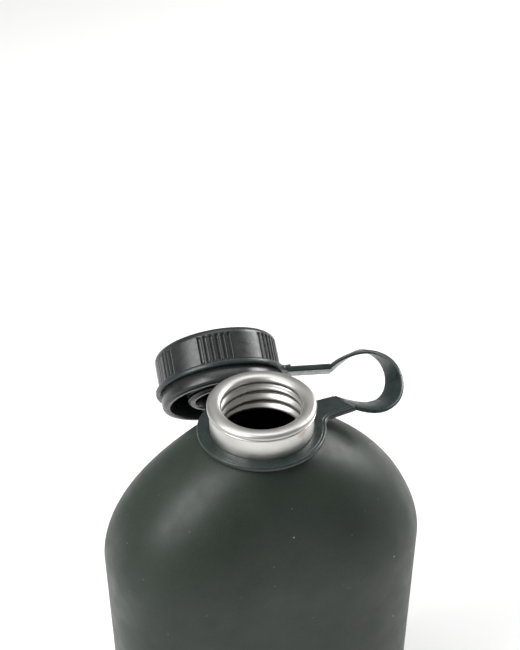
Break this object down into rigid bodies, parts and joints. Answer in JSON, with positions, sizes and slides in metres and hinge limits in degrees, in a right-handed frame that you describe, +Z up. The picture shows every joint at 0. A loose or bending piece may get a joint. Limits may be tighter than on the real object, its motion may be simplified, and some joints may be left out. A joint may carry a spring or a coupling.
{
  "type": "canteen",
  "caption": "Flattened kidney-section steel canteen with a screw cap tethered by a flexible strap that turns on the neck.",
  "frame": {"origin": "on the neck axis, in the plane that the bottle stands on", "axes": "+Z up along the neck axis, X along the body's width, -Y towards the hollowed side of the kidney section"},
  "size_m": [0.1321, 0.1152, 0.1794],
  "materials": {
    "coated_steel": "satin dark grey-green coat",
    "bare_steel": "satin bare steel",
    "strap_plastic": "semi-gloss dark blue-green",
    "cap_plastic": "satin-gloss near black",
    "disc_plastic": "scuffed near black",
    "gasket_rubber": "matte dark rubber"
  },
  "bodies": {
    "bottle": {"body_shell": "coated_steel", "base_pan": "coated_steel", "neck_sleeve": "bare_steel", "threaded_neck": "bare_steel"},
    "neck_retainer": {"neck_ring": "strap_plastic", "strap_lower": "strap_plastic"},
    "bend": {"strap_bend": "strap_plastic"},
    "crown": {"strap_crown": "strap_plastic"},
    "cap_retainer": {"strap_upper": "strap_plastic", "cap_ring": "strap_plastic"},
    "cap": {"cap_shell": "cap_plastic", "cap_disc": "disc_plastic", "cap_plug": "cap_plastic", "cap_gasket": "gasket_rubber"}
  },
  "joints": [
    {"name": "retainer_turn", "type": "hinge", "parent": "bottle", "child": "neck_retainer", "pos_m": [0, 0, 0.1614], "axis": [0, 0, 1], "range_deg": [-24, 24]},
    {"name": "strap_lift", "type": "hinge", "parent": "neck_retainer", "child": "bend", "pos_m": [0.061, 0.0095, 0.165], "axis": [0.1398, -0.9884, 0.0599], "range_deg": [0, 73.33], "stiffness_Nm_per_rad": 0.6, "deforming": ["strap_bend"]},
    {"name": "cap_seat", "type": "slide", "parent": "bend", "child": "crown", "axis": [-0.9528, -0.0917, -0.2894], "range_m": [0, 0.0185], "stiffness_N_per_m": 200, "deforming": ["strap_crown"]},
    {"name": "strap_twist", "type": "hinge", "parent": "crown", "child": "cap_retainer", "pos_m": [0.03431, -0.02917, 0.16206], "axis": [0.6042, 0.7809, -0.1587], "range_deg": [0, 94.49]},
    {"name": "cap_turn", "type": "hinge", "parent": "cap_retainer", "child": "cap", "pos_m": [-0.0018, 0.0517, 0.1522], "axis": [0.0774, 0.8242, 0.561], "range_deg": [-1377, 0]}
  ],
  "couplings": [
    {"joint": "strap_twist", "follows": "strap_lift", "ratio": 1.2885},
    {"joint": "cap_turn", "follows": "cap_seat", "rad_per_m": -1298.2}
  ]
}
